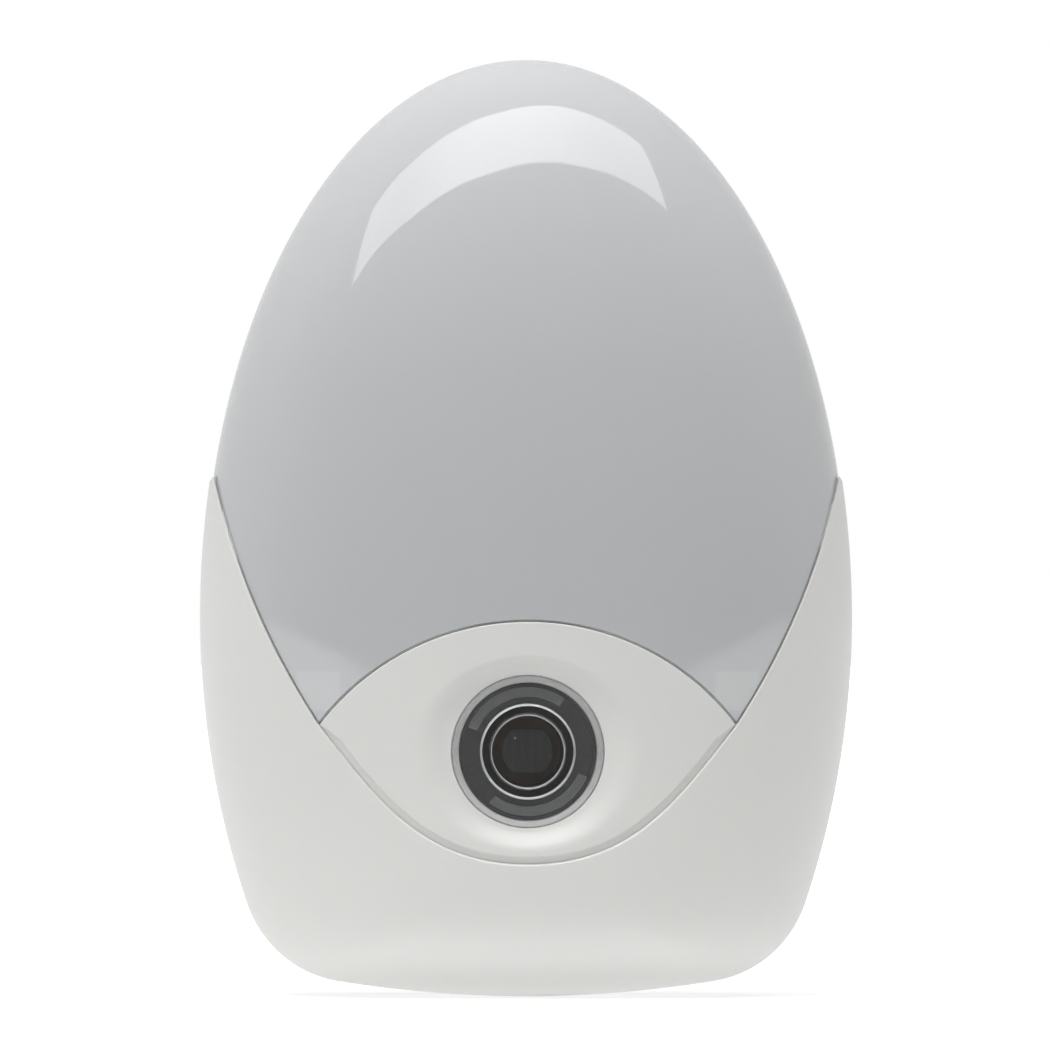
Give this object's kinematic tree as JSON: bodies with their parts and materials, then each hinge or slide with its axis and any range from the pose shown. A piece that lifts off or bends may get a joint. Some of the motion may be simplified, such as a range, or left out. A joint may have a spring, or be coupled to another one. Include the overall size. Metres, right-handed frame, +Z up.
{
  "type": "plug in night light",
  "caption": "Egg-shaped plug-in night light: milky diffuser in a white cup, dusk sensor behind a round window, and a two-pin plug on the back.",
  "frame": {"origin": "centre of the plug block's front face, midway between the two pins", "axes": "+Y along the pins into the wall socket, +Z up, +X to the right seen from the room"},
  "size_m": [0.0652, 0.0678, 0.0939],
  "materials": {
    "housing_white": "fine satin moulded finish",
    "milky_cover": "polished, milky and translucent",
    "clear_window": "clear polished plastic",
    "black_plastic": "matt moulded",
    "plated_steel": "bright plated",
    "sleeve_black": "matt moulded",
    "brass_tag": "bare stamped strip",
    "zinc_screw": "zinc plated",
    "board_laminate": "paper laminate, dull",
    "reflector_white": "smooth moulded",
    "led_resin": "cast resin",
    "wire_insulation": "extruded, smooth",
    "film_capacitor": "moulded box",
    "can_sleeve": "shrunk sleeve",
    "component_black": "moulded epoxy",
    "resistor_body": "dipped lacquer",
    "fusible_body": "dipped lacquer",
    "diode_glass": "drawn glass",
    "cell_face": "coated ceramic disc"
  },
  "bodies": {
    "root": {"front_housing": "housing_white", "diffuser": "milky_cover", "sensor_panel": "housing_white", "sensor_window": "clear_window", "sensor_tube": "black_plastic", "photocell": "cell_face", "rear_housing": "housing_white", "left_pin": "plated_steel", "right_pin": "plated_steel", "pin_sleeves": "sleeve_black", "pin_clamp": "housing_white", "clamp_screw": "zinc_screw", "contact_tags": "brass_tag", "lead_wires": "wire_insulation", "circuit_board": "board_laminate", "board_screws": "zinc_screw", "reflector": "reflector_white", "leds": "led_resin", "dropper_capacitor": "film_capacitor", "smoothing_capacitor": "can_sleeve", "bridge_rectifier": "component_black", "fusible_resistor": "fusible_body", "zener_diode": "diode_glass", "resistors": "resistor_body", "transistor": "component_black", "housing_screws": "zinc_screw"}
  },
  "joints": []
}
